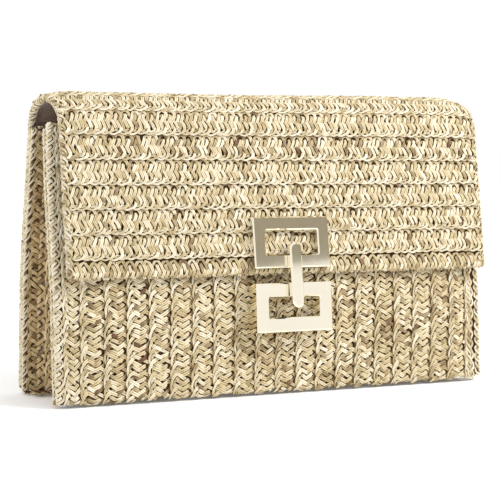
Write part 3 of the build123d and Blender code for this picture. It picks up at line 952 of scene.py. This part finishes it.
def tube_hem(name, route, seed, radius, wide=(1, 0, 0), painted_shade=0.0):
    """Braid wrapped round a core along a route. Returns both pieces."""
    place, length = round_route(route, wide, radius)
    around = math.pi * (radius - BRAID_DEPTH)
    swing = around - 1.45
    piece = plait(name, place, 0.6, length - 0.6, 0.0, HEM_REPEAT, 0, seed, swing, swing, painted_shade=painted_shade)
    finish_piece(piece, straw_light)
    return [piece, core_of(f"{name}_core", route, radius * 0.62, radius * 0.62, wide)]


def edge_hem(name, place, edge, first, last, seed, swing=HEM_SWING, painted_shade=0.0):
    """Braid folded round the edge of a panel, with its core. Returns both pieces."""
    wrapped = round_edge(place, edge, HEM_HALF_THICK)
    piece = plait(name, wrapped, first, last, 0.0, HEM_REPEAT, 0, seed, swing, swing, painted_shade=painted_shade)
    finish_piece(piece, straw_light)
    inner = edge - math.copysign(HEM_HALF_WIDTH, edge)
    route = edge_route(place, inner, first, last, -HEM_HALF_THICK)
    return [piece, core_of(f"{name}_core", route, HEM_HALF_WIDTH * 0.6, HEM_HALF_THICK * 0.55)]


# painted light: the hems' negative shade values paint their straws lighter
for side, side_name in SIDES:
    body_edge = side * body_half
    for piece in edge_hem(
        f"back_hem_{side_name}", on_cover, body_edge, 9.0, crown_start - 1.5, 600 + side, 3.6, -0.28
    ):
        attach(piece, "body")
    for piece in edge_hem(
        f"crown_hem_{side_name}", on_cover, body_edge, crown_start - 1.0, crown_middle,
        610 + side, painted_shade=-0.1,
    ):
        crease_blend(piece, ("body", "crown"))
    for piece in edge_hem(
        f"flap_hem_{side_name}", on_cover, body_edge, crown_middle, cover_flap_end - 2.0,
        620 + side, painted_shade=-0.1,
    ):
        crease_blend(piece, ("crown", "flap"))
    for piece in edge_hem(
        f"front_hem_{side_name}", on_front, body_edge, 9.0, front.length - 0.5, 630 + side, 3.6, -0.22
    ):
        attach(piece, "front")

# ---- gussets ---------------------------------------------
gusset_bottom, gusset_top = 2.5, 144.5
GUSSET_COLUMNS = 7
GUSSET_BLEND_HEIGHT = 75.0     # where the turn of the cloth from panel to panel is measured
for side, side_name in SIDES:
    place = on_gusset(side)
    y_rear, y_fore = (float(panel_inside(np.array(GUSSET_BLEND_HEIGHT), at)) for at in (1, -1))
    pitch = GUSSET_CLOTH / GUSSET_COLUMNS
    for index in range(GUSSET_COLUMNS):
        # painted shade: the gusset braids take the shaded straw copy and are painted a little darker
        # (0.04)
        piece = plait(
            f"gusset_braid_{side_name}_{index + 1}", swapped(place), gusset_bottom, gusset_top,
            pitch * (index + 0.5), COLUMN_REPEAT, -1, 700 + 10 * side + index, *GUSSET_SWINGS,
            tilt=0.4, painted_shade=0.04,
        )
        finish_piece(piece, straw_gusset_painted_shade)
        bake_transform(piece)
    cloth = slab(
        f"gusset_lining_{side_name}", place, spaced(0, GUSSET_CLOTH, 1.4),
        spaced(gusset_bottom, gusset_top, 4), BACKING[0] + 0.3, BACKING[1] - 0.3,
    )
    finish_piece(cloth, satin)
    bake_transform(cloth)
    nodes = [f"gusset_{side_name}_{end_name}" for end_name in ("rear", "front")]
    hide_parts(*nodes, *[f"{item}_lining" for item in nodes])
    for which, body, end_name in ((1, "body", "rear"), (-1, "front", "front")):
        heights = spaced(gusset_bottom - 1, gusset_top + 1.5, 1.0)
        y = panel_inside(heights, which) - which * 1.7
        route = np.stack([np.full(heights.shape, side * (body_half - 2.3)), y, heights], -1)
        # painted light: the gussets' side hems are painted lighter
        painted_shade = -0.24 if which > 0 else -0.22
        name = f"gusset_hem_{side_name}_{end_name}"
        for piece in tube_hem(name, route, 640 + side + which, 2.1, (side, 0, 0), painted_shade):
            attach(piece, body)
    across = spaced(1.0, GUSSET_CLOTH - 1.0, 1.0)
    route = place(across, np.full(across.shape, gusset_top + 0.5), np.full(across.shape, -1.6))
    for piece in tube_hem(f"gusset_top_hem_{side_name}", route, 660 + side, 1.8, (0, 0, 1)):
        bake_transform(piece)

# ---- rims, slip pocket -----------------------------------
xs = spaced(-body_half + 3, body_half - 3, 1.2)
rim_route = on_front(xs, np.full(xs.shape, front.length - 2.0), np.full(xs.shape, -2.4))
for piece in tube_hem("front_rim", rim_route, 671, 2.3, (0, 0, 1)):
    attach(piece, "front")

pocket_low, pocket_high = node_box("slip_pocket")
pocket_first = cover.distance_at(pocket_low[2], 12.0)
pocket_last = cover.distance_at(pocket_high[2], 12.0)
pocket = slab(
    "slip_pocket_cloth", puckered(on_cover, 0.25), spaced(pocket_low[0], pocket_high[0], 3),
    spaced(pocket_first, pocket_last, 3), LINING[1] - 0.6, LINING[1] - 1.4,
)
finish_piece(pocket, satin)
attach(pocket, "body")
hem_along = spaced(pocket_low[0], pocket_high[0], 1.5)
hem_route = on_cover(
    hem_along, np.full(hem_along.shape, pocket_last), np.full(hem_along.shape, LINING[1] - 1.0)
)
pocket_hem = rod("slip_pocket_hem", hem_route, 1.0, 2.2, (0, 1, 0))
finish_piece(pocket_hem, satin)
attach(pocket_hem, "body")

# ---- what stands for what --------------------------------
STANDS_FOR = (
    (back_backing, "back_panel"),
    (crown_backing, "flap_crown"),
    (flap_backing, "flap_panel"),
    (front_backing, "front_panel"),
    (base_backing, "base_panel"),
    (back_lining, "back_lining"),
    (crown_lining, "flap_crown_lining"),
    (flap_lining, "flap_lining"),
    (front_lining, "front_lining"),
    (base_lining, "base_lining"),
    (pocket, "slip_pocket"),
)
for piece, node_name in STANDS_FOR:
    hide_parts(node_name)

# ---- carried-over CAD nodes ------------------------------
for name, thing in frame["nodes"].items():
    if thing.hide_render:
        continue
    material = steel
    if "board" in name:
        material = board_card
    if name in ("upper_frame", "lower_frame", "clasp_link"):
        material = gold
    thing.data.materials.clear()
    thing.data.materials.append(material)

# ---- stage, light and camera -----------------------------
def flat_material(name, colour, roughness=0.9, glow=0.0):
    material, tree, shader = new_material(name)
    shader.inputs["Base Color"].default_value = (*colour, 1)
    shader.inputs["Roughness"].default_value = roughness
    if glow:
        shader.inputs["Emission Color"].default_value = (*colour, 1)
        shader.inputs["Emission Strength"].default_value = glow
    return material


def card(name, centre, width, height, towards, material):
    half_w, half_h = width / 2, height / 2
    corners = [(-half_w, -half_h, 0), (half_w, -half_h, 0), (half_w, half_h, 0), (-half_w, half_h, 0)]
    turn = (Vector(towards) - Vector(centre)).to_track_quat("Z", "Y").to_matrix()
    mesh = bpy.data.meshes.new(name)
    mesh.from_pydata([tuple(Vector(centre) + turn @ Vector(c)) for c in corners], [], [(0, 1, 2, 3)])
    thing = bpy.data.objects.new(name, mesh)
    bpy.context.scene.collection.objects.link(thing)
    mesh.materials.append(material)
    return thing


card("floor", (0, 0, 0), 12, 12, (0, 0, 1), flat_material("floor_white", (0.92, 0.92, 0.92), 0.9, 0.09))

# Grey card for the clasp's faces to mirror, to the right of the camera and above it.
CARD_AWAY = 3.0
CARD_WIDTH, CARD_HEIGHT = 2.4, 1.8
card_direction = math.radians(28.0)
card_z = 0.07 + CARD_AWAY * math.tan(math.radians(11.9)) + CARD_HEIGHT / 2
card_place = (CARD_AWAY * math.sin(card_direction), -CARD_AWAY * math.cos(card_direction), card_z)
card_grey = flat_material("card_grey", (0.34, 0.31, 0.25), 1.0)
mirror_card = card("mirror_card", card_place, CARD_WIDTH, CARD_HEIGHT, (0, 0, card_z), card_grey)
mirror_card.visible_camera = False
mirror_card.visible_diffuse = False
mirror_card.visible_shadow = False


def area_light(name, place, target, size, power):
    light = bpy.data.lights.new(name, "AREA")
    light.shape = "RECTANGLE"
    light.size, light.size_y = size
    light.energy = power
    thing = bpy.data.objects.new(name, light)
    thing.location = place
    thing.rotation_euler = (Vector(target) - Vector(place)).to_track_quat("-Z", "Y").to_euler()
    bpy.context.scene.collection.objects.link(thing)
    return thing


area_light("key", (0.85, -0.75, 0.95), (0.05, 0, 0.08), (0.6, 0.6), 17)
area_light("left_fill", (-1.3, -0.3, 0.5), (0, 0, 0.08), (0.5, 0.9), 3.5)

world = bpy.data.worlds.new("studio")
bpy.context.scene.world = world
world.use_nodes = True
world.node_tree.nodes["Background"].inputs["Color"].default_value = (1, 1, 1, 1)
world.node_tree.nodes["Background"].inputs["Strength"].default_value = 1.0

CAMERA_AZIMUTH = math.radians(-28.1)
CAMERA_ELEVATION = math.radians(4.6)
CAMERA_ROLL = math.radians(1.04)
CAMERA_DISTANCE = 961.5
CAMERA_TARGET = Vector((-7.2, 0.0, 78.4))
backwards = Vector((
    math.sin(CAMERA_AZIMUTH) * math.cos(CAMERA_ELEVATION),
    -math.cos(CAMERA_AZIMUTH) * math.cos(CAMERA_ELEVATION),
    math.sin(CAMERA_ELEVATION),
))
level_right = Vector((math.cos(CAMERA_AZIMUTH), math.sin(CAMERA_AZIMUTH), 0))
level_up = backwards.cross(level_right)
camera_right = level_right * math.cos(CAMERA_ROLL) + level_up * math.sin(CAMERA_ROLL)
camera_up = level_up * math.cos(CAMERA_ROLL) - level_right * math.sin(CAMERA_ROLL)
camera_data = bpy.data.cameras.new("camera")
camera_data.sensor_width = 36.0
camera_data.lens = 122.4
camera = bpy.data.objects.new("camera", camera_data)
turn = Matrix((camera_right, camera_up, backwards)).transposed()
camera_place = (CAMERA_TARGET + backwards * CAMERA_DISTANCE) * MM
camera.matrix_world = Matrix.Translation(camera_place) @ turn.to_4x4()
bpy.context.scene.collection.objects.link(camera)
bpy.context.scene.camera = camera
bpy.context.scene.view_settings.view_transform = "Standard"
